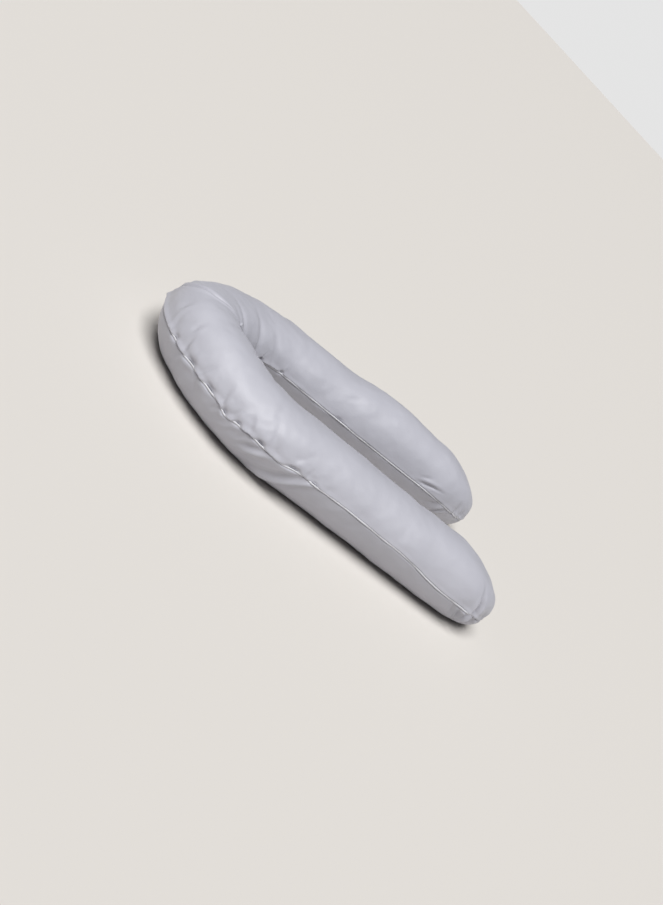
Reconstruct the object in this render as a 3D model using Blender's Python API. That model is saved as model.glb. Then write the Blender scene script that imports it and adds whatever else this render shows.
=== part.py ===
"""A U-shaped pregnancy pillow for the whole body, lying flat on the surface it rests on.

Metres, +Z up. The origin is under the middle of the pillow, on the surface. The bend, where the
head goes, is at -X, and the rounded ends of the two arms are at +X. The near arm is at -Y and the
far arm at +Y.

The pillow is one filled body. An upper and a lower panel of cloth meet in one seam, which runs
right round the U: along its outer side, round both ends and back along its inner side. A thin
piping cord is sewn into that seam, and lies in the groove that the seam draws into the cloth.
"""
import math
from collections import namedtuple

import bmesh
import bpy

# Overall sizes.
OVERALL_LENGTH = 1.35
OVERALL_WIDTH = 0.76
ARM_HALF_WIDTH = 0.127  # at an arm's widest
BEND_DEPTH = 0.339  # how far the bend's centreline reaches past the straight arms
BEND_ROUNDNESS = 1.75  # 2 would be an ellipse; less is more pointed
END_LENGTH = 0.239  # length of the rounded end of an arm
END_SEAM_HEIGHT = 0.070  # the seam dips to this height at the tip of an arm
FAR_ARM_SHORTER = 0.022  # cloth is never quite even: the far arm ends this much earlier
INNER_SEAM_HEIGHT = 0.110

# The shape across an arm: 2 is an ellipse, and more is boxier.
TOP_FULLNESS = 2.2
BOTTOM_FULLNESS = 1.8
END_FULLNESS = 1.7
SAG = 1.08  # the lower panel would bulge this share of the seam's height down, so it lies flat

# Sizes along the U. `way` is 0 where the near arm's rounded end starts, 1 in the middle of the
# bend and 2 where the far arm's rounded end starts.
Size = namedtuple("Size", "way half_width height outer_seam")
SIZES = (
    Size(0.00, 0.123, 0.219, 0.105),
    Size(0.20, 0.127, 0.216, 0.128),
    Size(0.45, 0.127, 0.221, 0.131),
    Size(0.70, 0.130, 0.221, 0.118),
    Size(0.88, 0.120, 0.233, 0.114),
    Size(1.00, 0.120, 0.228, 0.108),
    Size(1.30, 0.124, 0.204, 0.114),
    Size(1.55, 0.127, 0.201, 0.120),
    Size(1.80, 0.127, 0.231, 0.120),
    Size(2.00, 0.123, 0.223, 0.105),
)

# The seam and its piping.
PIPING_RADIUS = 0.0025
PIPING_SIDES = 6
PIPING_INSET = 0.0014  # of the piping's centre, from the edge that full panels would have
GROOVE_DEPTH = 0.0050
LIP_INSET = 0.0008
LIP_HEIGHT = 0.0062  # of the groove's lips, above and below the seam

# Places where the cloth is drawn in. `side` is 1 for the outer side and -1 for the inner one, and
# `way` is as above. `level` is -1 on the underside, 0 at the seam and 1 on the crest. A fold is
# `high` metres up and down and `wide` metres along the arm, leans by `lean` degrees, and is
# `deep` metres deep, or less than 0 where it stands out as a ridge.
Fold = namedtuple("Fold", "side way level high wide lean deep")
FOLDS = (
    # The crease right across the bend, and the roll of cloth on its near side.
    Fold(1, 1.005, 0.55, 0.220, 0.020, 0, 0.012),
    Fold(-1, 1.005, 0.75, 0.200, 0.020, 0, 0.012),
    Fold(1, 0.960, 0.60, 0.160, 0.030, 0, -0.004),
    # The soft crease where the bend meets the straight near arm.
    Fold(1, 0.635, 0.40, 0.090, 0.026, 8, 0.007),
    Fold(1, 0.690, 0.35, 0.080, 0.040, 8, -0.004),
    # Puckers along the outer seam of the bend.
    Fold(1, 0.910, 0.03, 0.030, 0.024, 0, 0.006),
    Fold(1, 0.868, 0.02, 0.026, 0.020, 0, 0.006),
    Fold(1, 0.832, -0.02, 0.028, 0.022, 0, 0.006),
    Fold(1, 0.785, 0.02, 0.026, 0.026, 0, 0.007),
    Fold(1, 0.731, -0.06, 0.040, 0.024, 0, 0.006),
    Fold(1, 0.590, 0.01, 0.026, 0.030, 0, 0.006),
    Fold(1, 0.520, 0.00, 0.026, 0.034, 0, 0.005),
    # Pulled ridges in the lower panel under the bend's end.
    Fold(1, 0.655, -0.25, 0.030, 0.045, 40, -0.005),
    Fold(1, 0.575, -0.36, 0.026, 0.070, 40, -0.006),
    Fold(1, 0.600, -0.22, 0.026, 0.060, 40, 0.004),
    # The gathers at the near arm's end.
    Fold(1, -0.040, -0.25, 0.050, 0.016, 0, 0.004),
    Fold(1, -0.090, 0.05, 0.060, 0.016, 0, 0.008),
    # Plain puckers on the far side of the bend and on the far arm.
    Fold(1, 1.100, 0.02, 0.034, 0.024, 0, 0.006),
    Fold(1, 1.165, -0.03, 0.030, 0.022, 0, 0.006),
    Fold(1, 1.240, 0.03, 0.034, 0.026, 0, 0.005),
    Fold(1, 1.330, 0.35, 0.090, 0.030, 0, 0.006),
    Fold(1, 1.420, 0.00, 0.026, 0.030, 0, 0.005),
    Fold(1, 2.090, 0.05, 0.060, 0.016, 0, 0.007),
    # The inner side is squeezed into broad folds by the bend.
    Fold(-1, 0.800, 0.30, 0.110, 0.026, 0, 0.007),
    Fold(-1, 0.900, 0.20, 0.120, 0.022, 0, 0.008),
    Fold(-1, 1.110, 0.25, 0.120, 0.024, 0, 0.008),
    Fold(-1, 1.220, 0.35, 0.100, 0.026, 0, 0.006),
    # The dents above the end of the far arm's inner side.
    Fold(-1, 1.990, 0.15, 0.060, 0.018, -12, 0.006),
    Fold(-1, 2.065, -0.18, 0.050, 0.018, 10, 0.006),
)

# How finely the shape is cut. Angles run from the seam, 0, to the crest or the underside, 90.
ARM_STEPS = 50
END_STEPS = 8
TOP_ANGLES = (70, 52, 37, 24, 13)
BOTTOM_ANGLES = (13, 25, 39, 55, 72)
CENTRELINE_STEPS = 240

Colour = namedtuple("Colour", "red green blue")
CLOTH_GREY = Colour(0.53, 0.53, 0.58)
PIPING_GREY = Colour(0.66, 0.66, 0.70)
CLOTH_ROUGHNESS = 0.62
PIPING_ROUGHNESS = 0.55

# A place on the seam. `base` is the point of the centreline it belongs to, `out` the way out from
# there in plan, `reach` how far out the edge of full panels lies, and `spine` the number of the
# base. `tip` is 0 along an arm and rises to 1 at the very end of its rounded end, and `ahead` is
# how far the base lies into that end, as a share of its length.
Station = namedtuple("Station", "base out reach spine way side tip ahead")


def clear_scene():
    for thing in list(bpy.data.objects):
        bpy.data.objects.remove(thing, do_unlink=True)


def size_at(column, way):
    """A column of the table of sizes at this way, on a smooth curve with no overshoot."""
    rows = [(row.way, getattr(row, column)) for row in SIZES]
    way = min(rows[-1][0], max(rows[0][0], way))
    slopes = [(b[1] - a[1]) / (b[0] - a[0]) for a, b in zip(rows, rows[1:])]
    tangents = [0.0]
    for before, after in zip(slopes, slopes[1:]):
        rising_or_falling = before * after > 0
        tangents.append(2 * before * after / (before + after) if rising_or_falling else 0.0)
    tangents.append(0.0)
    i = 0
    while i < len(slopes) - 1 and way > rows[i + 1][0]:
        i += 1
    step = rows[i + 1][0] - rows[i][0]
    t = (way - rows[i][0]) / step
    return (
        (2 * t**3 - 3 * t**2 + 1) * rows[i][1]
        + (t**3 - 2 * t**2 + t) * step * tangents[i]
        + (3 * t**2 - 2 * t**3) * rows[i + 1][1]
        + (t**3 - t**2) * step * tangents[i + 1]
    )


def centreline():
    """The far arm's centreline, from where its rounded end starts to the middle of the bend."""
    arm_y = OVERALL_WIDTH / 2 - ARM_HALF_WIDTH
    start_x = OVERALL_LENGTH / 2 - END_LENGTH
    middle_x = -OVERALL_LENGTH / 2 + size_at("half_width", 1.0)
    bend_x = middle_x + BEND_DEPTH
    power = 2 / BEND_ROUNDNESS
    points = [(start_x, arm_y)]
    for i in range(CENTRELINE_STEPS + 1):
        turn = math.pi / 2 * i / CENTRELINE_STEPS
        x = bend_x - BEND_DEPTH * math.sin(turn) ** power
        y = arm_y * max(0.0, math.cos(turn)) ** power
        points.append((x, y))
    return points


def lengths_along(points):
    lengths = [0.0]
    for a, b in zip(points, points[1:]):
        lengths.append(lengths[-1] + math.dist(a, b))
    return lengths


def point_along(points, lengths, length):
    i = 0
    while i < len(points) - 2 and length > lengths[i + 1]:
        i += 1
    t = (length - lengths[i]) / (lengths[i + 1] - lengths[i])
    (x0, y0), (x1, y1) = points[i], points[i + 1]
    return x0 + (x1 - x0) * t, y0 + (y1 - y0) * t


ARM_LENGTH = lengths_along(centreline())[-1]


def end_stations():
    """The far arm's rounded end, half an ellipse in plan, from its tip back: (base, out, reach, tip)."""
    start_x, arm_y = centreline()[0]
    half = size_at("half_width", 0.0)
    for i in range(END_STEPS):
        angle = math.pi / 2 * i / END_STEPS
        edge = (END_LENGTH * math.cos(angle), half * math.sin(angle))
        base = (END_LENGTH - half**2 / END_LENGTH) * math.cos(angle)  # where the normal meets the axis
        reach = math.hypot(edge[0] - base, edge[1])
        out = ((edge[0] - base) / reach, edge[1] / reach)
        yield (start_x + base, arm_y), out, reach, math.cos(angle)


def arm_stations():
    """The far arm from where its rounded end starts to the middle of the bend: (base, out, share)."""
    points = centreline()
    lengths = lengths_along(points)
    nudge = 0.002
    for i in range(ARM_STEPS + 1):
        length = ARM_LENGTH * i / ARM_STEPS
        base = point_along(points, lengths, length)
        ahead = point_along(points, lengths, length + nudge)
        behind = point_along(points, lengths, length - nudge)
        along = (ahead[0] - behind[0], ahead[1] - behind[1])
        if i == ARM_STEPS:
            along = (0.0, -1.0)
        size = math.hypot(*along)
        yield base, (along[1] / size, -along[0] / size), i / ARM_STEPS


def seam_loop():
    """Every station of the seam: out along the outer side, round the far end, back inside."""
    rows = []  # of the far arm: base, out, reach or None, share, tip
    for base, out, reach, tip in end_stations():
        share = -(base[0] - centreline()[0][0]) / ARM_LENGTH
        rows.append((base, out, reach, share, tip))
    for base, out, share in arm_stations():
        rows.append((base, out, None, share, 0.0))
    last = 2 * len(rows) - 2

    def station(row, arm, side):
        base, out, reach, share, tip = rows[row]
        way = share if arm < 0 else 2 - share
        if side < 0:
            out = (out[0], -out[1]) if tip > 0 else (-out[0], -out[1])
        ahead = max(0.0, -share) * ARM_LENGTH / END_LENGTH
        spine = row if arm < 0 else last - row
        reach = size_at("half_width", way) if reach is None else reach
        shorter = FAR_ARM_SHORTER / (OVERALL_LENGTH / 2) if arm > 0 else 0.0
        place = (base[0] - shorter * max(0.0, base[0]), arm * base[1])
        return Station(place, (out[0], arm * out[1]), reach, spine, way, side, tip, ahead)

    middle = len(rows) - 1
    outer = [station(i, -1, 1) for i in range(middle + 1)]
    outer += [station(i, 1, 1) for i in range(middle - 1, -1, -1)]
    inner = [station(i, 1, -1) for i in range(1, middle + 1)]
    inner += [station(i, -1, -1) for i in range(middle - 1, 0, -1)]
    return outer + inner


def heights(station):
    """The crest's and the seam's heights at a station."""
    crest = size_at("height", station.way)
    seam = size_at("outer_seam", station.way) if station.side > 0 else INNER_SEAM_HEIGHT
    if station.tip > 0:
        fall = (1 - station.ahead**END_FULLNESS) ** (1 / END_FULLNESS)
        crest = END_SEAM_HEIGHT + (crest - END_SEAM_HEIGHT) * fall
        seam = END_SEAM_HEIGHT + (seam - END_SEAM_HEIGHT) * (1 - station.tip**2)
    return crest, seam


def fold_depth(station, level):
    """How far the cloth is drawn in at this place by all the folds together."""
    quarter_round = 0.19  # from the seam to the crest, over the cloth
    depth = 0.0
    for fold in FOLDS:
        if fold.side != station.side:
            continue
        along = (station.way - fold.way) * ARM_LENGTH
        up = (level - fold.level) * quarter_round
        lean = math.radians(fold.lean)
        across = (along * math.cos(lean) - up * math.sin(lean)) / fold.wide
        length = (up * math.cos(lean) + along * math.sin(lean)) / fold.high
        depth += fold.deep * math.exp(-(across**2) - length**2)
    return depth


def surface_point(station, angle, upper):
    """A point of the upper or lower panel, this many degrees from the seam."""
    crest, seam = heights(station)
    turn = math.radians(angle)
    power = 2 / (TOP_FULLNESS if upper else BOTTOM_FULLNESS)
    outward = max(0.0, math.cos(turn)) ** power
    upward = math.sin(turn) ** power
    level = angle / 90 if upper else -angle / 90
    depth = fold_depth(station, level)
    reach = station.reach * outward - depth * math.cos(turn)
    if upper:
        z = seam + (crest - seam) * upward - depth * math.sin(turn)
    else:
        z = seam - seam * SAG * upward + depth * math.sin(turn)
    x = station.base[0] + station.out[0] * reach
    y = station.base[1] + station.out[1] * reach
    return x, y, max(0.0, z)


def seam_point(station, inset, rise):
    """A point near the seam, so far in from the edge of full panels and so far above the seam."""
    reach = station.reach - inset - fold_depth(station, 0.0)
    x = station.base[0] + station.out[0] * reach
    y = station.base[1] + station.out[1] * reach
    return x, y, heights(station)[1] + rise


def body_column(station):
    """The points of one station from the crest's edge over the seam's groove to the underside."""
    upper = [surface_point(station, angle, True) for angle in TOP_ANGLES]
    groove = [
        seam_point(station, LIP_INSET, LIP_HEIGHT),
        seam_point(station, GROOVE_DEPTH, 0.0),
        seam_point(station, LIP_INSET, -LIP_HEIGHT),
    ]
    lower = [surface_point(station, angle, False) for angle in BOTTOM_ANGLES]
    return upper + groove + lower


def make_body(loop):
    """The filled body: a strip of faces between each two stations, joined along the spine."""
    mesh = bmesh.new()
    spine_count = max(station.spine for station in loop) + 1
    crests, undersides = [None] * spine_count, [None] * spine_count
    for station in loop:
        if crests[station.spine] is None:
            crests[station.spine] = mesh.verts.new(surface_point(station, 90, True))
            undersides[station.spine] = mesh.verts.new(surface_point(station, 90, False))
    columns = []
    for station in loop:
        column = [mesh.verts.new(point) for point in body_column(station)]
        columns.append([crests[station.spine]] + column + [undersides[station.spine]])
    for left, right in zip(columns, columns[1:] + columns[:1]):
        for i in range(len(left) - 1):
            mesh.faces.new((left[i], right[i], right[i + 1], left[i + 1]))
    bmesh.ops.triangulate(mesh, faces=mesh.faces[:])
    bmesh.ops.recalc_face_normals(mesh, faces=mesh.faces[:])
    return mesh


def make_piping(loop):
    """The piping: a closed tube that follows the seam, cut across at the same stations."""
    mesh = bmesh.new()
    rings = []
    for station in loop:
        ring = []
        for i in range(PIPING_SIDES):
            turn = 2 * math.pi * i / PIPING_SIDES
            inset = PIPING_INSET - PIPING_RADIUS * math.cos(turn)
            ring.append(mesh.verts.new(seam_point(station, inset, PIPING_RADIUS * math.sin(turn))))
        rings.append(ring)
    for left, right in zip(rings, rings[1:] + rings[:1]):
        for i in range(PIPING_SIDES):
            j = (i + 1) % PIPING_SIDES
            mesh.faces.new((left[i], right[i], right[j], left[j]))
    bmesh.ops.recalc_face_normals(mesh, faces=mesh.faces[:])
    return mesh


def make_material(name, colour, roughness):
    material = bpy.data.materials.new(name)
    material.use_nodes = True
    shader = material.node_tree.nodes["Principled BSDF"]
    shader.inputs["Base Color"].default_value = (*colour, 1.0)
    shader.inputs["Roughness"].default_value = roughness
    shader.inputs["Metallic"].default_value = 0.0
    return material


def add_object(name, mesh, material):
    data = bpy.data.meshes.new(name)
    mesh.to_mesh(data)
    mesh.free()
    data.shade_smooth()
    data.materials.append(material)
    thing = bpy.data.objects.new(name, data)
    bpy.context.scene.collection.objects.link(thing)
    return thing


def main():
    clear_scene()
    loop = seam_loop()
    cloth = make_material("cloth", CLOTH_GREY, CLOTH_ROUGHNESS)
    cord = make_material("piping", PIPING_GREY, PIPING_ROUGHNESS)
    add_object("pillow_body", make_body(loop), cloth)
    add_object("seam_piping", make_piping(loop), cord)


main()
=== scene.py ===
# A U-shaped pregnancy pillow in light grey sateen, lying on a pale studio floor.
# The sewn cover is lofted over its filling, puffed up as cloth, then gathered and creased along its
# seam. The piping is a strip of the same cloth wound round a cord and sewn into that seam.
import math
import random

import bmesh
import bpy
import numpy as np
from mathutils import Matrix, Vector, noise


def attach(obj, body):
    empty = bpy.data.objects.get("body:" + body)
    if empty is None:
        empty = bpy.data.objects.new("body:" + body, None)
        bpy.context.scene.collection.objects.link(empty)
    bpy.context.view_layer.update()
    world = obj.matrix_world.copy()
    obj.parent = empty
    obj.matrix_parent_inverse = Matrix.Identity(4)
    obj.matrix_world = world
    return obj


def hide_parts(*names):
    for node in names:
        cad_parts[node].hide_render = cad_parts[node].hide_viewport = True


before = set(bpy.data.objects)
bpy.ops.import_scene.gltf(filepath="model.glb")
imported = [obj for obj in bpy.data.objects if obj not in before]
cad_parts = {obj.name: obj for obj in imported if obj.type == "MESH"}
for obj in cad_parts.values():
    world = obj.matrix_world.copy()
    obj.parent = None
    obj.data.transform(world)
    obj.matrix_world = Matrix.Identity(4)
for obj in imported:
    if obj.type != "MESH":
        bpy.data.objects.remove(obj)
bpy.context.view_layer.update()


# Shared helpers.

def linearColour(hexCode, alpha=1.0):
    channels = [int(hexCode[i:i + 2], 16) / 255 for i in (1, 3, 5)]
    return (*[c / 12.92 if c <= 0.04045 else ((c + 0.055) / 1.055) ** 2.4 for c in channels], alpha)


def addNode(tree, kind, settings=None, inputs=None, links=None):
    node = tree.nodes.new(kind)
    for name, value in (settings or {}).items():
        setattr(node, name, value)
    for name, value in (inputs or {}).items():
        node.inputs[name].default_value = value
    for name, socket in (links or {}).items():
        tree.links.new(socket, node.inputs[name])
    return node


def newMaterial(name):
    material = bpy.data.materials.new(name)
    material.use_nodes = True
    return material, material.node_tree, material.node_tree.nodes["Principled BSDF"]


def smoothCurve(rows, at):
    # A curve through (place, value) rows that never overshoots them, read at every place in at.
    places = np.array([row[0] for row in rows], float)
    values = np.array([row[1] for row in rows], float)
    slopes = np.diff(values) / np.diff(places)
    tangents = np.zeros(len(rows))
    sameWay = slopes[:-1] * slopes[1:] > 0
    both = slopes[:-1] + slopes[1:]
    tangents[1:-1][sameWay] = (2 * slopes[:-1] * slopes[1:])[sameWay] / both[sameWay]
    at = np.clip(at, places[0], places[-1])
    i = np.clip(np.searchsorted(places, at) - 1, 0, len(rows) - 2)
    step = places[i + 1] - places[i]
    t = (at - places[i]) / step
    return ((2 * t**3 - 3 * t**2 + 1) * values[i] + (t**3 - 2 * t**2 + t) * step * tangents[i]
            + (3 * t**2 - 2 * t**3) * values[i + 1] + (t**3 - t**2) * step * tangents[i + 1])


# The pillow's form. Metres, with the pillow's bend at -X and the near arm at -Y.
# "way" runs from 0 where the near arm's rounded end starts, through 1 in the middle of the bend,
# to 2 where the far arm's rounded end starts.

pillow = {
    "length": 1.35,
    "width": 0.76,
    "bendDepth": 0.339,
    "bendRoundness": 1.75,
    "endLength": 0.239,
    "endSeamHeight": 0.070,
    "farArmShorter": 0.022,
    "innerSeamHeight": 0.110,
    "topFullness": 2.2,
    "bottomFullness": 1.8,
    "endFullness": 1.7,
    "sag": 1.08,
    "widest": 0.127,
    "crowding": 0.4,  # how much closer the rings lie in the creased bend
    "lineSteps": 400,
    "halfWidth": ((0, .123), (.2, .127), (.45, .127), (.7, .130), (.88, .120), (1, .120),
                  (1.3, .124), (1.55, .127), (1.8, .127), (2, .123)),
    "height": ((0, .219), (.2, .216), (.45, .221), (.7, .221), (.88, .233), (1, .228),
               (1.3, .204), (1.55, .201), (1.8, .231), (2, .223)),
    "outerSeam": ((0, .105), (.2, .128), (.45, .131), (.7, .118), (.88, .114), (1, .108),
                  (1.3, .114), (1.55, .120), (1.8, .120), (2, .105)),
}


def armLine():
    # Points of the far arm's centreline, from the start of its rounded end to the bend's middle.
    armY = pillow["width"] / 2 - pillow["widest"]
    startX = pillow["length"] / 2 - pillow["endLength"]
    middleX = -pillow["length"] / 2 + float(smoothCurve(pillow["halfWidth"], 1.0))
    turn = np.linspace(0, math.pi / 2, pillow["lineSteps"])
    power = 2 / pillow["bendRoundness"]
    x = middleX + pillow["bendDepth"] * (1 - np.sin(turn) ** power)
    y = armY * np.maximum(0, np.cos(turn)) ** power
    return np.concatenate([[(startX, armY)], np.stack([x, y], 1)])


def seamStations(armSteps, endSteps):
    # Every place on the seam, all round: out along the outer side, round the far end, back inside.
    line = armLine()
    run = np.concatenate([[0], np.cumsum(np.linalg.norm(np.diff(line, axis=0), axis=1))])
    armLength = run[-1]
    endLength = pillow["endLength"]
    half = float(smoothCurve(pillow["halfWidth"], 0.0))
    turn = np.linspace(0, math.pi / 2, endSteps + 1)[:-1]
    edge = np.stack([endLength * np.cos(turn), half * np.sin(turn)], 1)
    # Where the edge's normal meets the arm's axis.
    endBase = (endLength - half**2 / endLength) * np.cos(turn)
    endOut = edge - np.stack([endBase, 0 * endBase], 1)
    endReach = np.linalg.norm(endOut, axis=1)
    u = np.linspace(0, 1, armSteps + 1)
    s = armLength * (u + pillow["crowding"] * u * (1 - u))

    def lineAt(where):
        return np.stack([np.interp(where, run, line[:, axis]) for axis in (0, 1)], 1)

    nudge = 0.004  # each ring's direction is read this far to both sides of it
    along = lineAt(s + nudge) - lineAt(s - nudge)
    along[-1] = (0, -1)
    along /= np.linalg.norm(along, axis=1)[:, None]
    base = np.concatenate([line[0] + np.stack([endBase, 0 * endBase], 1), lineAt(s)])
    out = np.concatenate([endOut / endReach[:, None], np.stack([along[:, 1], -along[:, 0]], 1)])
    share = np.concatenate([-endBase / armLength, s / armLength])
    tip = np.concatenate([np.cos(turn), 0 * s])
    reach = np.concatenate([endReach, 0 * s])
    middle = len(base) - 1
    outer = [(i, -1, 1) for i in range(middle + 1)]
    outer += [(i, 1, 1) for i in range(middle - 1, -1, -1)]
    inner = [(i, 1, -1) for i in range(1, middle + 1)]
    inner += [(i, -1, -1) for i in range(middle - 1, 0, -1)]
    row, arm, side = (np.array(column) for column in zip(*(outer + inner)))
    place = base[row] * np.stack([np.ones(len(arm)), arm], 1)
    shorter = np.where(arm > 0, pillow["farArmShorter"] / (pillow["length"] / 2), 0)
    place[:, 0] -= shorter * np.maximum(0, place[:, 0])
    stations = {
        "side": side,
        "way": np.where(arm < 0, share[row], 2 - share[row]),
        "tip": tip[row],
        "ahead": np.maximum(0, -share[row]) * armLength / endLength,
        "spine": np.where(arm < 0, row, 2 * middle - row),
        "base": place,
        "armLength": armLength,
    }
    direction = out[row]
    inward = side < 0
    direction[inward & (tip[row] > 0)] *= (1, -1)
    direction[inward & (tip[row] == 0)] *= -1
    stations["out"] = direction * np.stack([np.ones(len(arm)), arm], 1)
    halfWidth = smoothCurve(pillow["halfWidth"], stations["way"])
    stations["reach"] = np.where(tip[row] > 0, reach[row], halfWidth)
    crest = smoothCurve(pillow["height"], stations["way"])
    outerSeam = smoothCurve(pillow["outerSeam"], stations["way"])
    seam = np.where(side > 0, outerSeam, pillow["innerSeamHeight"])
    low = pillow["endSeamHeight"]
    power = pillow["endFullness"]
    fall = (1 - np.minimum(1, stations["ahead"]) ** power) ** (1 / power)
    onEnd = stations["tip"] > 0
    stations["crest"] = np.where(onEnd, low + (crest - low) * fall, crest)
    stations["seam"] = np.where(onEnd, low + (seam - low) * (1 - stations["tip"] ** 2), seam)
    return stations


def panelPoints(stations, angles, upper):
    # Points of a panel, one row for each angle from the seam (0 degrees) to the spine (90).
    turn = np.radians(np.asarray(angles, float))[:, None]
    power = 2 / (pillow["topFullness"] if upper else pillow["bottomFullness"])
    outward = np.maximum(0, np.cos(turn)) ** power
    upward = np.sin(turn) ** power
    seam, crest = stations["seam"], stations["crest"]
    z = seam + (crest - seam) * upward if upper else seam - seam * pillow["sag"] * upward
    flat = stations["base"] + stations["out"] * (stations["reach"] * outward)[..., None]
    return np.concatenate([flat, np.maximum(z, 0)[..., None]], axis=2)


# The cover.

cover = {
    "armSteps": 104,  # rings of the mesh along an arm, before it is made finer once
    "endSteps": 28,
    "topRows": 29,
    "bottomRows": 18,
    "rowCrowding": 0.30,  # how close the rows next to the seam are, 1 for even rows
    "slack": 0.985,  # of the full size, that the cloth starts from
    "startThickness": 0.11,
    "startReach": 0.03,
    "startLumpSize": 0.018,
    "startLumpHeight": 0.0006,
    "pressure": 4.0,
    "simQuality": 6,
    "clothMass": 0.2,
    "stretchStiffness": 25,
    "shearStiffness": 8,
    "bendStiffness": 0.25,
    "gather": -0.07,  # how much more cloth than seam there is along the seam
    "gatherReach": 0.055,
    "frames": 20,
    "mostMove": 0.010,
    "crowdedFrom": (1.02, 0.6),  # way from the bend's middle, and level, where the points crowd
    "crowdedFade": (0.08, 0.25),
    "evenFactor": 0.5,
    "evenSteps": 50,
    "quarterRound": 0.19,  # from the seam to the crest, over the cloth
    "crestBlend": 0.22,  # share of that over which the folds of both sides run together
    "slitShare": 0.75,  # of a pocket's length, where the piping shows
    "grooveDepth": 0.0066,
    "grooveWide": 0.0030,
    "lipOut": 0.0055,  # the roll of the upper panel that hangs over the piping
    "lipDrop": 0.0058,
    "lipRise": 0.0075,
    "lipWide": 0.0055,
    "innerLip": 0.7,  # of the outer side's roll
    "waveReach": 0.035,  # how far from the seam the cloth follows its rises and drops
    "lip": ((-.16, .7), (-.085, .8), (-.062, .3), (0, .28), (.35, .3), (.5, .7), (.62, 1),
            (.92, 1), (1, .9), (1.3, 1), (1.45, .6), (1.6, .3), (2, .3), (2.06, .4), (2.09, .6),
            (2.16, .6)),  # how strong the roll is, by way
    "lumpHeight": 0.0028,
    "lumpSize": 0.075,
    "smallLumpHeight": 0.0010,
    "smallLumpSize": 0.028,
}

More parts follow.
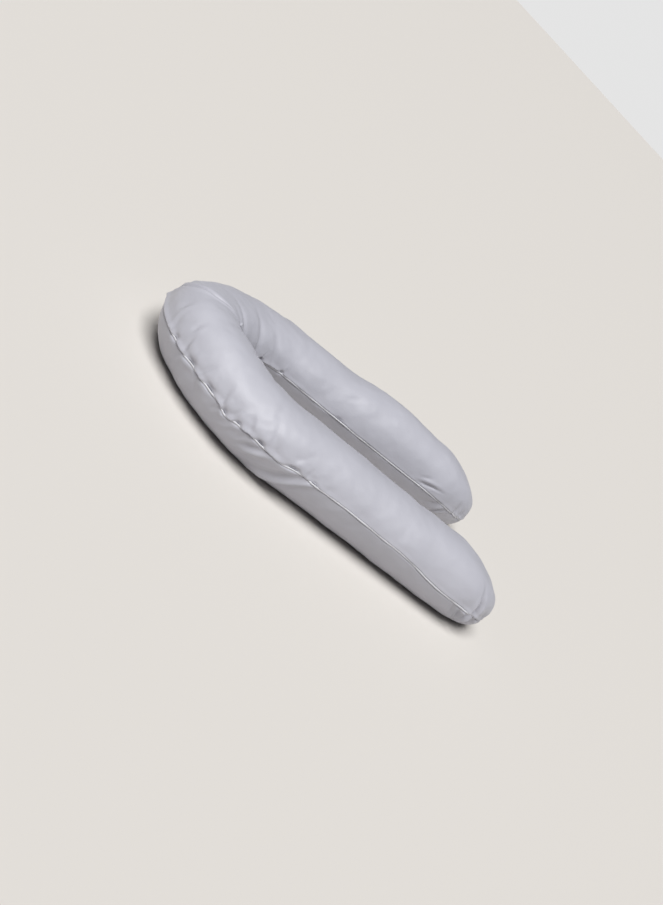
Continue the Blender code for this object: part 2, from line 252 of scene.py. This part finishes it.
# Creases, puckers and pulled folds, placed after the photograph: the side (1 outer, -1
# inner), the way, the level (-1 underside, 0 seam, 1 crest), how high and how wide it is, its lean
# in degrees and how deep it is drawn in, or less than 0 where it stands out.
foldColumns = ("side", "way", "level", "high", "wide", "lean", "deep")
folds = (
    # The crease right across the bend, a roll of cloth on its near side and a tuck beyond it.
    (1, 1.007, .50, .200, .0060, -13, -.0065), (-1, .987, .80, .120, .007, 0, -.005),
    (1, 1.019, .50, .210, .0075, -13, .014), (-1, .999, .85, .120, .008, 0, .013),
    (1, 1.036, .40, .100, .0080, -20, -.005), (1, 1.052, .30, .070, .008, -26, .005),
    (1, 1.066, .26, .060, .009, -26, -.003), (1, .950, .60, .150, .034, 0, -.003),
    # Short soft wrinkles on the dome of the bend.
    (1, .963, .33, .018, .0050, 4, .0032), (1, .955, .34, .020, .0060, 4, -.0022),
    (1, .975, .30, .022, .0060, -8, -.0018), (1, .906, .36, .020, .0050, 6, .0030),
    (1, .898, .38, .022, .0060, 6, -.0020), (1, .930, .22, .024, .0070, -10, .0022),
    (1, .940, .14, .030, .0060, 14, .0030), (1, .948, .12, .026, .0060, 14, -.0022),
    # The soft crease where the bend meets the straight near arm, and the fullness beside it.
    (1, .634, .26, .050, .008, 14, .0042), (1, .622, .24, .050, .010, 14, -.0016),
    (1, .656, .60, .040, .010, 10, .0022), (1, .655, .34, .080, .024, 18, -.0022),
    # Ridges that pull away from the seam across the lower panel, with troughs beside them.
    (1, .643, -.20, .036, .009, -48, -.0075), (1, .655, -.15, .040, .009, -48, .0065),
    (1, .630, -.30, .040, .010, -48, .0045),
    (1, .550, -.28, .080, .010, -50, -.0090), (1, .570, -.22, .075, .012, -50, .0080),
    (1, .533, -.34, .070, .012, -50, .0050), (1, .600, -.52, .050, .012, -50, -.0040),
    (1, .700, -.30, .050, .014, -42, -.0035), (1, .715, -.26, .050, .012, -42, .0040),
    (1, .925, -.10, .020, .015, 0, -.0035), (1, .868, -.09, .018, .013, -10, -.0035),
    (1, .790, -.17, .026, .034, -30, -.0045), (1, .815, -.30, .040, .014, -30, .003),
    (1, .720, -.24, .040, .012, -35, -.004), (1, .738, -.20, .040, .012, -35, .003),
    (1, .895, -.28, .040, .014, -10, .003), (1, .845, -.40, .050, .014, -20, -.003),
    (1, .420, -.22, .040, .012, -50, -.002), (1, .330, -.16, .030, .012, -50, .0018),
    (1, .240, -.20, .036, .012, 40, -.002), (1, .120, -.18, .034, .010, 46, .002),
    # Pinched places between the pockets, where the seam holds both panels in.
    (1, .885, .10, .026, .0050, 14, .0042), (1, .878, .12, .024, .0060, 14, -.0020),
    (1, .822, .11, .030, .0050, -12, .0042), (1, .814, .13, .026, .0060, -12, -.0022),
    (1, .756, .12, .034, .0060, 10, .0045), (1, .748, .13, .030, .0060, 12, -.0022),
    (1, .722, .09, .022, .0050, -18, .0038), (1, .682, .12, .034, .0055, 20, .0045),
    (1, .674, .14, .030, .0065, 20, -.0025), (1, .615, .09, .030, .0055, 12, .0042),
    (1, .524, .09, .026, .0060, -10, .0030), (1, .885, -.10, .024, .0055, -20, .0035),
    (1, .822, -.12, .028, .0060, 16, .0038), (1, .756, -.12, .030, .0060, -24, .0038),
    (1, .682, -.14, .034, .0065, -30, .0042), (1, .522, -.10, .028, .0060, -30, .0030),
    (1, .455, .08, .022, .0060, 8, .0016), (1, .345, .07, .020, .0060, -14, .0014),
    (1, .215, .08, .022, .0060, 10, .0015), (1, .095, .07, .022, .0060, -8, .0015),
    # Gathers round the near arm's end: a light fold below the seam and a deep crease across it.
    (1, -.060, -.23, .036, .0065, 22, -.0090), (1, -.070, -.23, .036, .0065, 22, .0100),
    (1, -.049, -.20, .030, .0065, 22, .0060), (1, -.0680, -.06, .010, .0120, 0, -.0060),
    (1, -.094, .02, .042, .0060, 0, .0340), (1, -.092, .34, .036, .0055, 6, .0100),
    (1, -.083, .08, .036, .0065, 0, -.0080), (1, -.106, .12, .030, .0060, 0, -.0060),
    (1, -.159, .00, .020, .0450, 0, .0100), (-1, -.159, .00, .020, .0450, 0, .0100),
    (1, -.088, -.24, .034, .0065, 10, .0110), (1, -.078, -.20, .030, .0060, 10, -.0060),
    (1, -.100, -.22, .034, .0065, 0, -.0060), (1, -.112, -.20, .034, .0070, 6, .0100),
    (1, -.122, -.10, .040, .0065, -8, -.0040), (1, -.130, .04, .036, .0070, 10, .0070),
    (1, -.147, -.05, .034, .0070, -6, .0050),
    (-1, -.150, .02, .034, .0060, 0, .0070),
    (-1, -.135, .06, .036, .0055, 0, .0060), (-1, -.118, -.02, .030, .0055, 0, .0060),
    (-1, -.092, .02, .034, .0060, 0, .0060), (-1, -.060, .02, .028, .0070, 0, .0045),
    (-1, -.020, .00, .024, .0100, 0, .0040),
    # The far arm: plain gathers at its end, dents above them and soft wrinkles along its top.
    (1, 2.090, .06, .034, .0065, 4, .0060), (1, 2.050, -.12, .036, .0080, 20, .0030),
    (1, 2.116, .14, .030, .0070, -6, .0035), (1, 2.138, -.06, .034, .0065, 8, .0045),
    (-1, 1.990, .10, .032, .0050, 75, .0060), (-1, 1.985, .16, .034, .0070, 75, -.0030),
    (-1, 1.960, .16, .026, .0060, 55, .0040), (-1, 1.950, .12, .026, .0070, 55, -.0025),
    (-1, 2.059, -.22, .026, .0055, 25, .0100), (-1, 2.050, -.20, .026, .0065, 25, -.0050),
    (-1, 2.068, -.20, .026, .0065, 25, -.0040), (-1, 2.030, -.14, .040, .0080, 40, .0040),
    (-1, 2.100, .02, .034, .0055, 0, .0080), (-1, 2.125, .06, .034, .0055, 0, .0070),
    (-1, 2.148, .02, .034, .0050, 0, .0060),
    (-1, 1.640, .60, .050, .012, 60, .003), (-1, 1.660, .66, .050, .014, 60, -.0025),
    (-1, 1.775, .80, .040, .012, 55, .0025), (1, 1.330, .35, .090, .018, 20, .006),
    (1, 1.365, .38, .080, .022, 20, -.003), (1, 1.560, .25, .060, .014, 30, .003),
    # The bend squeezes its inner side into folds.
    (-1, .700, .30, .080, .014, 20, .005), (-1, .800, .30, .110, .015, 8, .008),
    (-1, .900, .20, .120, .013, 4, .010), (-1, .955, .25, .110, .011, 0, .006),
    (-1, 1.055, .20, .110, .011, 0, .006), (-1, 1.110, .25, .120, .013, -4, .010),
    (-1, 1.220, .35, .100, .015, -8, .007), (-1, 1.310, .30, .080, .016, -20, .005),
    (-1, .850, -.40, .080, .013, 0, .006), (-1, .990, -.40, .080, .012, 0, .007),
    (-1, 1.150, -.40, .080, .013, 0, .006),
)

# Pockets where the upper panel bags out over the seam: the side, the way, and how long and deep.
pocketColumns = ("side", "way", "long", "deep")
pockets = (
    (1, .915, .009, .0050), (1, .855, .022, .0062), (1, .791, .022, .0058), (1, .738, .009, .0055),
    (1, .704, .011, .0055), (1, .648, .015, .0062), (1, .566, .032, .0058), (1, .495, .016, .0030),
    (1, 1.080, .014, .006), (1, 1.125, .017, .007), (1, 1.172, .013, .006),
    (1, 1.228, .018, .008), (1, 1.284, .014, .006), (1, 1.350, .020, .007), (1, 1.405, .016, .005),
    (1, 1.470, .018, .004), (1, 1.600, .020, .002), (1, 1.760, .018, .002), (1, 1.900, .018, .002),
    (-1, .640, .014, .004), (-1, .745, .014, .006), (-1, .850, .013, .007), (-1, .930, .012, .007),
    (-1, 1.000, .012, .007), (-1, 1.080, .012, .007), (-1, 1.165, .013, .006),
    (-1, 1.265, .014, .006), (-1, 1.380, .014, .004), (-1, 1.620, .018, .002),
    (-1, .360, .018, .002), (-1, .150, .018, .002),
)


# What a pocket does to the cloth round it, from the seam up: rise and height in metres, width and
# depth as shares of its own, and lean in degrees. The slit, the bag over it, the bag below it, and
# the short wrinkles that run from it into both panels.
pocketShape = (
    (.0065, .0050, .9, 1.35, 0), (.024, .013, 1.2, -.42, 0), (-.015, .010, 1.1, -.32, 0),
    (.030, .020, .24, .24, 16), (.036, .022, .26, -.18, -20), (-.026, .018, .28, .18, -24),
)

# Where the seam itself rises or drops: the side, the way, and how long and how high.
waveColumns = ("side", "way", "long", "high")
waves = (
    (1, .731, .020, -.011), (1, .885, .018, -.003), (1, .845, .014, .002), (1, .800, .016, .002),
    (1, .765, .012, .003), (1, .668, .018, .004), (1, .600, .026, -.003), (1, .545, .020, .002),
    (1, .470, .026, -.0015), (1, .380, .030, .0012), (1, .250, .034, -.0012), (1, .120, .030, .001),
    (1, 1.100, .018, -.003), (1, 1.150, .016, .003), (1, 1.205, .018, -.004),
    (1, 1.260, .016, .003), (1, 1.330, .022, -.003), (1, 1.420, .024, .002),
    (1, 1.560, .030, -.0015), (1, 1.750, .034, .0015), (-1, .800, .014, .002),
    (-1, .900, .014, -.003), (-1, .970, .012, .002), (-1, 1.040, .012, -.002),
    (-1, 1.130, .014, .003), (-1, 1.220, .016, -.002), (-1, .400, .030, .001),
    (-1, 1.700, .030, -.001),
)


def seamRise(side, way, armLength):
    rise = np.zeros(len(way))
    for row in waves:
        wave = dict(zip(waveColumns, row))
        along = (way - wave["way"]) * armLength / wave["long"]
        rise += wave["high"] * (side * wave["side"] > 0) * np.exp(-along**2)
    return rise


def openShare(side, way, armLength):
    # 1 in the middle of a pocket, where the piping shows in a dark slit, and 0 between pockets.
    share = np.zeros(len(way))
    for row in pockets:
        pocket = dict(zip(pocketColumns, row))
        along = (way - pocket["way"]) * armLength / (cover["slitShare"] * pocket["long"])
        share = np.maximum(share, (side * pocket["side"] > 0) * np.exp(-along**2))
    return share


def foldDepth(side, way, level, armLength):
    # How far all the folds and pockets together draw the cloth in, at each place.
    rows = [dict(zip(foldColumns, row)) for row in folds]
    for number, row in enumerate(pockets):
        pocket = dict(zip(pocketColumns, row))
        chance = random.Random(number)
        for rise, high, wider, share, turn in pocketShape:
            shift = chance.uniform(-0.5, 0.5) * pocket["long"] * (turn != 0)
            rows.append({"side": pocket["side"], "way": pocket["way"] + shift / armLength,
                         "level": rise / cover["quarterRound"],
                         "high": high * chance.uniform(0.85, 1.2),
                         "wide": pocket["long"] * wider, "lean": turn * chance.uniform(0.2, 1.6),
                         "deep": pocket["deep"] * share * chance.uniform(0.8, 1.2)})
    depth = np.zeros(len(way))
    # The folds of the two sides run into each other on the crest.
    apart = np.clip((1 - np.abs(level)) / cover["crestBlend"], 0, 1)
    for fold in rows:
        along = (way - fold["way"]) * armLength
        up = (level - fold["level"]) * cover["quarterRound"]
        lean = math.radians(fold["lean"])
        across = (along * math.cos(lean) - up * math.sin(lean)) / fold["wide"]
        length = (up * math.cos(lean) + along * math.sin(lean)) / fold["high"]
        onSide = np.clip(0.5 + 0.5 * side * fold["side"] * apart, 0, 1)
        depth += onSide * fold["deep"] * np.exp(-across**2 - length**2)
    return depth


def coverRows():
    # Angles of the rows from the crest over the seam to the underside, closer near the seam.
    even = cover["rowCrowding"]
    top, bottom = (np.linspace(0, 1, cover[name] + 1) for name in ("topRows", "bottomRows"))
    top = 90 * (even * top + (1 - even) * top**2)[::-1]
    bottom = 90 * (even * bottom + (1 - even) * bottom**2)
    return top, bottom[1:]


def buildCover():
    stations = seamStations(cover["armSteps"], cover["endSteps"])
    top, bottom = coverRows()
    rows = np.concatenate([panelPoints(stations, top, True), panelPoints(stations, bottom, False)])
    count = len(stations["side"])
    spines = int(stations["spine"].max()) + 1
    firstOf = np.array([int(np.argmax(stations["spine"] == i)) for i in range(spines)])
    # The crest and the underside are shared by the two sides.
    points = np.concatenate([rows[0][firstOf], rows[1:-1].reshape(-1, 3), rows[-1][firstOf]])
    inside = len(rows) - 2
    index = np.empty((len(rows), count), int)
    index[0] = stations["spine"]
    index[1:-1] = spines + np.arange(inside * count).reshape(inside, count)
    index[-1] = spines + inside * count + stations["spine"]
    after = np.roll(index, -1, axis=1)
    faces = np.stack([index[:-1], after[:-1], after[1:], index[1:]], axis=-1).reshape(-1, 4)
    # Where each point lies on the flat panel that it was cut from, and how far it is from the seam.
    arc = np.zeros(rows.shape[:2])
    seamRow = len(top) - 1
    steps = np.linalg.norm(np.diff(rows, axis=0), axis=2)
    for i in range(seamRow - 1, -1, -1):
        arc[i] = arc[i + 1] + steps[i]
    for i in range(seamRow + 1, len(rows)):
        arc[i] = arc[i - 1] + steps[i - 1]
    whole = np.where((np.arange(len(rows)) <= seamRow)[:, None], arc[0], arc[-1])
    flat = stations["base"] + stations["out"] * (whole - arc)[..., None]
    level = np.concatenate([top / 90, -bottom / 90])[:, None] + np.zeros(count)
    signedArc = np.where((np.arange(len(rows)) <= seamRow)[:, None], arc, -arc)
    grid = {
        "level": level, "arc": signedArc,
        "way": stations["way"] + np.zeros(rows.shape[:2]),
        "side": stations["side"] + np.zeros(rows.shape[:2]),
        "armLength": stations["armLength"],
    }
    mesh = bpy.data.meshes.new("pillowCover")
    mesh.from_pydata(points.tolist(), [], faces.tolist())
    mesh.update()
    cloth = bpy.data.objects.new("pillow_cover", mesh)
    bpy.context.scene.collection.objects.link(cloth)
    outward = stations["out"] + np.zeros(flat.shape)
    grid.update(flatX=flat[..., 0], flatY=flat[..., 1], outX=outward[..., 0], outY=outward[..., 1])
    for name in ("level", "arc", "way", "side", "flatX", "flatY", "outX", "outY"):
        values = np.zeros(len(points), np.float32)
        values[index.ravel()] = grid[name].ravel()
        mesh.attributes.new(name, "FLOAT", "POINT").data.foreach_set("value", values)
    return cloth, grid


def readPoints(mesh):
    points = np.empty(len(mesh.vertices) * 3, np.float32)
    mesh.vertices.foreach_get("co", points)
    return points.reshape(-1, 3).astype(float)


def writePoints(mesh, points):
    mesh.vertices.foreach_set("co", points.astype(np.float32).ravel())
    mesh.update()


def readAttribute(mesh, name):
    values = np.empty(len(mesh.vertices), np.float32)
    mesh.attributes[name].data.foreach_get("value", values)
    return values.astype(float)


def readNormals(mesh):
    normals = np.empty(len(mesh.vertices) * 3, np.float32)
    mesh.vertex_normals.foreach_get("vector", normals)
    return normals.reshape(-1, 3).astype(float)


def ripple(points, scale, seed):
    # Smooth unevenness of about 1, -1 to 1, with lumps of this size in metres.
    offset = Vector((seed * 3.1, seed * 1.7, seed * 2.3))
    return np.array([noise.noise(Vector(p) / scale + offset) for p in points])


def crowdedShare(mesh):
    # 1 where the panels' points crowd together, above and below the middle of a rounded end.
    wayFrom, levelFrom = cover["crowdedFrom"]
    wayFade, levelFade = cover["crowdedFade"]
    onEnd = np.clip(np.abs(readAttribute(mesh, "way") - 1) - wayFrom, 0, wayFade) / wayFade
    return onEnd * np.clip((np.abs(readAttribute(mesh, "level")) - levelFrom) / levelFade, 0, 1)


def puffUp(cloth):
    # The filling presses the cloth out while the seam holds it in, which gathers it there.
    mesh = cloth.data
    full = readPoints(mesh)
    arc = np.abs(readAttribute(mesh, "arc"))
    start = full.copy()
    normals = readNormals(mesh)
    onFloor = full[:, 2] < 0.001
    shrink = (1 - cover["slack"]) * cover["startThickness"]
    start -= normals * shrink * np.minimum(1, arc / cover["startReach"])[:, None]
    lumps = ripple(full, cover["startLumpSize"], 5) * cover["startLumpHeight"]
    start += normals * lumps[:, None]
    start[onFloor, 2] = full[onFloor, 2]
    writePoints(mesh, start)
    held = cloth.vertex_groups.new(name="held")
    held.add([int(i) for i in np.nonzero(arc < 1e-6)[0]], 1.0, "REPLACE")
    held.add([int(i) for i in np.nonzero(onFloor & (arc >= 1e-6))[0]], 1.0, "REPLACE")
    gathered = cloth.vertex_groups.new(name="gathered")
    for i in np.nonzero(arc < cover["gatherReach"])[0]:
        gathered.add([int(i)], float(1 - arc[i] / cover["gatherReach"]), "REPLACE")
    modifier = cloth.modifiers.new("puffUp", "CLOTH")
    settings = modifier.settings
    settings.quality = cover["simQuality"]
    settings.mass = cover["clothMass"]
    settings.tension_stiffness = cover["stretchStiffness"]
    settings.compression_stiffness = cover["stretchStiffness"]
    settings.shear_stiffness = cover["shearStiffness"]
    settings.bending_stiffness = cover["bendStiffness"]
    settings.use_pressure = True
    settings.uniform_pressure_force = cover["pressure"]
    settings.effector_weights.gravity = 0
    settings.vertex_group_mass = "held"
    settings.vertex_group_shrink = "gathered"
    settings.shrink_min = 0.0
    settings.shrink_max = cover["gather"]
    modifier.collision_settings.use_collision = False
    modifier.point_cache.frame_start = 1
    modifier.point_cache.frame_end = cover["frames"]
    scene = bpy.context.scene
    for step in range(1, cover["frames"] + 1):
        scene.frame_set(step)
    evaluated = cloth.evaluated_get(bpy.context.evaluated_depsgraph_get())
    moved = readPoints(evaluated.data)
    cloth.modifiers.remove(modifier)
    scene.frame_set(1)
    move = moved - full
    size = np.linalg.norm(move, axis=1)
    move *= np.minimum(1, cover["mostMove"] / np.maximum(size, 1e-9))[:, None]
    move *= (1 - crowdedShare(mesh))[:, None]
    print(f"puffed up: mean move {size.mean() * 1000:.2f} mm, most {size.max() * 1000:.2f} mm")
    full += move
    full[:, 2] = np.maximum(full[:, 2], 0)
    writePoints(mesh, full)


def makeFiner(cloth):
    finer = cloth.modifiers.new("finer", "SUBSURF")
    finer.levels = finer.render_levels = 1
    with bpy.context.temp_override(object=cloth, active_object=cloth):
        bpy.ops.object.modifier_apply(modifier=finer.name)


def gatherAndCrease(cloth, armLength):
    mesh = cloth.data
    points = readPoints(mesh)
    normals = readNormals(mesh)
    way, level = readAttribute(mesh, "way"), readAttribute(mesh, "level")
    side, arc = readAttribute(mesh, "side"), readAttribute(mesh, "arc")
    depth = foldDepth(side, way, level, armLength)
    depth += cover["grooveDepth"] * np.exp(-(arc / cover["grooveWide"]) ** 2)
    depth += cover["lumpHeight"] * ripple(points, cover["lumpSize"], 2)
    depth += cover["smallLumpHeight"] * ripple(points, cover["smallLumpSize"], 4)
    onFloor = points[:, 2] < 0.002
    points -= normals * np.where(onFloor, 0, depth)[:, None]
    # The upper panel rolls over the seam, except in the pockets.
    outward = np.stack([readAttribute(mesh, "outX"), readAttribute(mesh, "outY")], 1)
    outward /= np.maximum(np.linalg.norm(outward, axis=1), 1e-6)[:, None]
    lip = smoothCurve(cover["lip"], way) * (1 - openShare(side, way, armLength))
    lip = lip * np.where(side > 0, 1, cover["innerLip"])
    roll = lip * (arc > 0) * np.exp(-(((arc - cover["lipRise"]) / cover["lipWide"]) ** 2))
    points[:, :2] += outward * (cover["lipOut"] * roll)[:, None]
    points[:, 2] -= cover["lipDrop"] * roll
    points[:, 2] += seamRise(side, way, armLength) * np.exp(-(arc / cover["waveReach"]) ** 2)
    points[:, 2] = np.maximum(points[:, 2], 0)
    writePoints(mesh, points)
    # The panels' points crowd together where a rounded end starts, so they are evened out there.
    crowded = cloth.vertex_groups.new(name="crowded")
    weight = crowdedShare(mesh)
    for i in np.nonzero(weight > 0)[0]:
        crowded.add([int(i)], float(weight[i]), "REPLACE")
    even = cloth.modifiers.new("even", "SMOOTH")
    even.factor = cover["evenFactor"]
    even.iterations = cover["evenSteps"]
    even.vertex_group = crowded.name
    with bpy.context.temp_override(object=cloth, active_object=cloth):
        bpy.ops.object.modifier_apply(modifier=even.name)


sateen = {
    "colour": "#B9B9C2",
    "shade": "#AFAFB8",
    "roughness": 0.5,
    "specular": 0.5,
    "sheen": 0.12,
    "sheenRoughness": 0.4,
    "ior": 1.53,
    "cloudScale": 7.0,
    # Real threads are taken as about 0.4 mm apart, too fine to draw, so they are coarser here.
    "drawnThread": 0.0016,
    "threadHeight": 0.00006,
    "threadStrength": 0.6,
    "creaseSize": 0.018,
    "creaseHeight": 0.0005,
    "creaseStrength": 0.5,
}


def sateenMaterial(name):
    # Polyester sateen, closely woven and calendered: long floats give it a soft, satiny sheen, and
    # the weave itself shows only close up.
    material, tree, shader = newMaterial(name)
    place = addNode(tree, "ShaderNodeTexCoord")
    cloud = addNode(tree, "ShaderNodeTexNoise",
                    inputs={"Scale": sateen["cloudScale"], "Detail": 3.0},
                    links={"Vector": place.outputs["Object"]})
    tone = addNode(tree, "ShaderNodeMix", {"data_type": "RGBA"},
                   links={"Factor": cloud.outputs["Fac"]})
    tone.inputs[6].default_value = linearColour(sateen["colour"])
    tone.inputs[7].default_value = linearColour(sateen["shade"])
    tree.links.new(tone.outputs[2], shader.inputs["Base Color"])
    # Fine soft creases, as in cloth that was packed.
    crease = addNode(tree, "ShaderNodeTexNoise",
                     inputs={"Scale": 1 / sateen["creaseSize"], "Detail": 4.0},
                     links={"Vector": place.outputs["Object"]})
    soft = addNode(tree, "ShaderNodeBump", inputs={
        "Strength": sateen["creaseStrength"], "Distance": sateen["creaseHeight"] * 2,
    }, links={"Height": crease.outputs["Fac"]})
    # The floats of the sateen: fine slanting ribs on the flat panel.
    flatX = addNode(tree, "ShaderNodeAttribute", {"attribute_name": "flatX"})
    flatY = addNode(tree, "ShaderNodeAttribute", {"attribute_name": "flatY"})
    flat = addNode(tree, "ShaderNodeCombineXYZ",
                   links={"X": flatX.outputs["Fac"], "Y": flatY.outputs["Fac"]})
    halfBand = 0.31  # of the wave pattern at scale 1, so each rib is two drawn threads wide
    ribs = addNode(tree, "ShaderNodeTexWave", {"bands_direction": "DIAGONAL"},
                   {"Scale": halfBand / sateen["drawnThread"] / 1.41, "Distortion": 0.4},
                   {"Vector": flat.outputs["Vector"]})
    weave = addNode(tree, "ShaderNodeBump", inputs={
        "Strength": sateen["threadStrength"], "Distance": sateen["threadHeight"],
    }, links={"Height": ribs.outputs["Fac"], "Normal": soft.outputs["Normal"]})
    tree.links.new(weave.outputs["Normal"], shader.inputs["Normal"])
    shader.inputs["Roughness"].default_value = sateen["roughness"]
    shader.inputs["Specular IOR Level"].default_value = sateen["specular"]
    shader.inputs["Sheen Weight"].default_value = sateen["sheen"]
    shader.inputs["Sheen Roughness"].default_value = sateen["sheenRoughness"]
    shader.inputs["IOR"].default_value = sateen["ior"]
    return material


def makePillow():
    cloth, grid = buildCover()
    puffUp(cloth)
    makeFiner(cloth)
    gatherAndCrease(cloth, grid["armLength"])
    cloth.data.materials.append(sateenMaterial("polyester sateen"))
    cloth.data.shade_smooth()
    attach(cloth, "root")
    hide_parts("pillow_body")
    print("pillow cover made:", len(cloth.data.polygons), "faces")


makePillow()


# The piping.

piping = {
    "radius": 0.0025,
    "inset": 0.0014,  # of its centre from the edge that full panels would have
    "armSteps": 280,
    "endSteps": 30,
    "sides": 10,
    "wrapPitch": 0.009,  # of the bias strip's pull round the cord
    "wrapHeight": 0.00018,
    "foldRange": (-0.002, 0.024),  # how far it follows the folds out and in
    # paler than the cover's sateen: painted highlight along the cord's rounded top
    "colour": "#CFCFD4",
    "roughness": 0.55,
    "sheen": 0.3,
}


def makePiping():
    stations = seamStations(piping["armSteps"], piping["endSteps"])
    side, way, armLength = (stations[name] for name in ("side", "way", "armLength"))
    depth = foldDepth(side, way, 0 * way, armLength)
    inset = piping["inset"] + np.clip(depth, *piping["foldRange"])
    height = stations["seam"] + seamRise(side, way, armLength)
    flat = stations["base"] + stations["out"] * (stations["reach"] - inset)[:, None]
    centre = np.concatenate([flat, height[:, None]], 1)
    along = np.roll(centre, -1, axis=0) - np.roll(centre, 1, axis=0)
    along /= np.linalg.norm(along, axis=1)[:, None]
    run = np.cumsum(np.linalg.norm(centre - np.roll(centre, 1, axis=0), axis=1))
    out = np.concatenate([stations["out"], 0 * stations["seam"][:, None]], 1)
    out -= along * (out * along).sum(1)[:, None]
    out /= np.linalg.norm(out, axis=1)[:, None]
    up = np.cross(along, out)
    sides = piping["sides"]
    turn = 2 * math.pi * np.arange(sides) / sides
    wraps = round(run[-1] / piping["wrapPitch"])
    wave = np.cos(turn[None] + 2 * math.pi * wraps * (run / run[-1])[:, None])
    radius = piping["radius"] + piping["wrapHeight"] * wave
    ring = (centre[:, None] + out[:, None] * (radius * np.cos(turn))[..., None]
            + up[:, None] * (radius * np.sin(turn))[..., None])
    index = np.arange(ring.shape[0] * sides).reshape(-1, sides)
    after = np.roll(index, -1, axis=0)
    faces = np.stack([index, after, np.roll(after, -1, axis=1), np.roll(index, -1, axis=1)], -1)
    faces = faces.reshape(-1, 4)
    mesh = bpy.data.meshes.new("seamPiping")
    mesh.from_pydata(ring.reshape(-1, 3).tolist(), [], faces.tolist())
    mesh.update()
    made = bmesh.new()
    made.from_mesh(mesh)
    bmesh.ops.recalc_face_normals(made, faces=made.faces[:])
    made.to_mesh(mesh)
    made.free()
    mesh.shade_smooth()
    cord = bpy.data.objects.new("piping_cord", mesh)
    bpy.context.scene.collection.objects.link(cord)
    # The same sateen cut on the bias and pulled tight over a cord, so it looks a little duller.
    material, tree, shader = newMaterial("sateen piping with painted highlight")
    # Paler colour than the cover's: painted highlight along the cord's rounded top.
    shader.inputs["Base Color"].default_value = linearColour(piping["colour"])
    shader.inputs["Roughness"].default_value = piping["roughness"]
    shader.inputs["Sheen Weight"].default_value = piping["sheen"]
    mesh.materials.append(material)
    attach(cord, "root")
    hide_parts("seam_piping")
    print("piping made:", len(mesh.polygons), "faces")


makePiping()


# The studio.

studio = {
    "azimuth": 24.59,  # of the view, from +Y towards +X, in degrees
    "elevation": 23.57,
    "roll": 48.52,
    "distance": 3.729,
    "right": 0.0638,  # of the aim, across and up the picture from the pillow's origin, in metres
    "up": 0.0266,
    "lens": 47.76,
    "floor": "#D6D2CD",
    "floorSize": 60,
    "floorDrop": 0.0004,  # below the pillow, so that the two never share a face
}

lights = {
    "keyAzimuth": 30,
    "keyElevation": 67,
    "keyWidth": 42,
    "keyStrength": 3.65,
    "horizon": 0.78,
    "walls": 0.06,
    "fadeFrom": 0.03,  # height where the sweep starts to darken into the walls, as a sine
    "fadeTo": 0.12,
}


def downwards(azimuth, elevation):
    # The direction that a view or a light points in, from its bearing and its height in radians.
    return Vector((math.sin(azimuth) * math.cos(elevation), math.cos(azimuth) * math.cos(elevation),
                   -math.sin(elevation)))


def addCamera():
    azimuth, elevation, roll = (math.radians(studio[k]) for k in ("azimuth", "elevation", "roll"))
    view = downwards(azimuth, elevation)
    level = Vector((math.cos(azimuth), -math.sin(azimuth), 0))
    upright = level.cross(view)
    right = level * math.cos(roll) + upright * math.sin(roll)
    up = upright * math.cos(roll) - level * math.sin(roll)
    place = -view * studio["distance"]
    aim = right * studio["right"] + up * studio["up"]
    back = (place - aim).normalized()
    across = up.cross(back).normalized()
    upward = back.cross(across)
    camera = bpy.data.objects.new("camera", bpy.data.cameras.new("camera"))
    camera.data.lens = studio["lens"]
    camera.data.sensor_width = 36
    turned = Matrix((across, upward, back)).transposed().to_4x4()
    camera.matrix_world = Matrix.Translation(place) @ turned
    bpy.context.scene.collection.objects.link(camera)
    bpy.context.scene.camera = camera


def addFloor():
    bpy.ops.mesh.primitive_plane_add(size=studio["floorSize"],
                                     location=(0, 0, -studio["floorDrop"]))
    floor = bpy.context.object
    floor.name = "studio_floor"
    # Rolled matt paint: pale, with no reflection of the pillow in it.
    material, tree, shader = newMaterial("painted studio floor")
    shader.inputs["Base Color"].default_value = linearColour(studio["floor"])
    shader.inputs["Roughness"].default_value = 0.9
    shader.inputs["Specular IOR Level"].default_value = 0.1
    floor.data.materials.append(material)


def addKeyLight():
    # One very wide soft light, high up on the camera's side, like a bank of softboxes.
    towards = downwards(math.radians(lights["keyAzimuth"]), math.radians(lights["keyElevation"]))
    light = bpy.data.lights.new("key_softboxes", "SUN")
    light.energy = lights["keyStrength"]
    light.angle = math.radians(lights["keyWidth"])
    thing = bpy.data.objects.new("key_softboxes", light)
    thing.rotation_euler = towards.to_track_quat("-Z", "Y").to_euler()
    bpy.context.scene.collection.objects.link(thing)


def addWorld():
    # A sweep that stays white up to the camera's height, in a dim room.
    world = bpy.data.worlds.new("studio")
    world.use_nodes = True
    tree = world.node_tree
    place = addNode(tree, "ShaderNodeTexCoord")
    split = addNode(tree, "ShaderNodeSeparateXYZ", links={"Vector": place.outputs["Generated"]})
    ramp = addNode(tree, "ShaderNodeMapRange", {"interpolation_type": "SMOOTHSTEP"},
                   {"From Min": lights["fadeFrom"], "From Max": lights["fadeTo"],
                    "To Min": lights["horizon"], "To Max": lights["walls"]},
                   {"Value": split.outputs["Z"]})
    background = tree.nodes["Background"]
    background.inputs["Color"].default_value = (1, 1, 1, 1)
    tree.links.new(ramp.outputs["Result"], background.inputs["Strength"])
    bpy.context.scene.world = world


def addStudio():
    addCamera()
    addFloor()
    addKeyLight()
    addWorld()
    bpy.context.scene.view_settings.view_transform = "Standard"
    print("studio set up")


addStudio()
